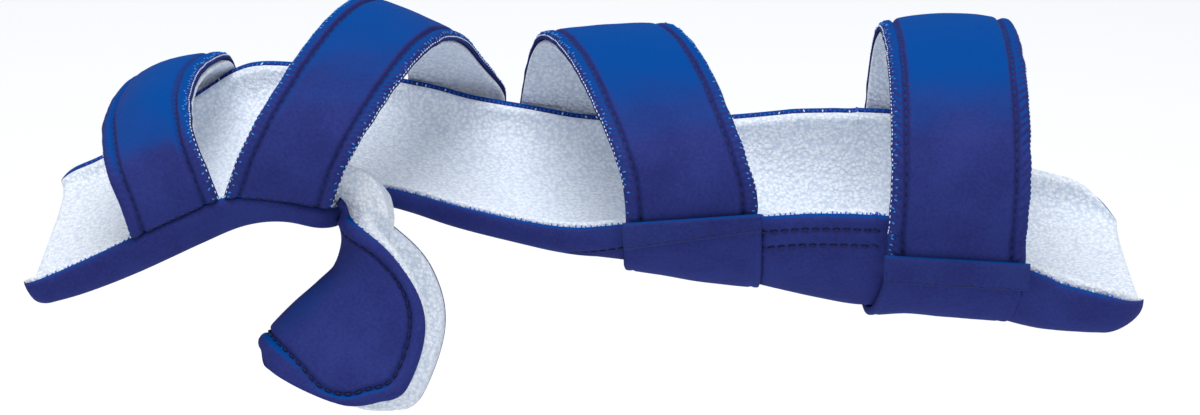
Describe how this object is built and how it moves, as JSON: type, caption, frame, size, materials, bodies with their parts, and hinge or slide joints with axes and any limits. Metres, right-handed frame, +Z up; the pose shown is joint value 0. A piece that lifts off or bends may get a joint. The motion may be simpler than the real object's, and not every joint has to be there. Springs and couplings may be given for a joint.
{
  "type": "resting hand splint",
  "caption": "Padded resting hand splint: a lined trough from the fingertips to the forearm, a thumb trough below its near edge, and padded straps that close over the hand and arm.",
  "frame": {"origin": "on the lining in the middle of the trough, under the wrist", "axes": "+X from the fingertips to the forearm, +Z up from the lining to the straps, -Y the thumb side"},
  "size_m": [0.3278, 0.1261, 0.1149],
  "materials": {
    "loop_cloth": "blue brushed loop cloth over thin foam",
    "terry_lining": "white terry cloth over thin foam",
    "hook_tab": "blue woven hook tape"
  },
  "bodies": {
    "root": {"tray_lining": "terry_lining", "tray_cover": "loop_cloth", "thumb_lining": "terry_lining", "thumb_cover": "loop_cloth", "finger_strap": "loop_cloth", "finger_strap_lining": "terry_lining", "palm_strap": "loop_cloth", "palm_strap_lining": "terry_lining", "wrist_strap": "loop_cloth", "wrist_strap_lining": "terry_lining", "forearm_strap": "loop_cloth", "forearm_strap_lining": "terry_lining", "wrist_tab": "hook_tab", "forearm_tab": "hook_tab", "wrist_band": "loop_cloth", "forearm_band": "loop_cloth"}
  },
  "joints": []
}
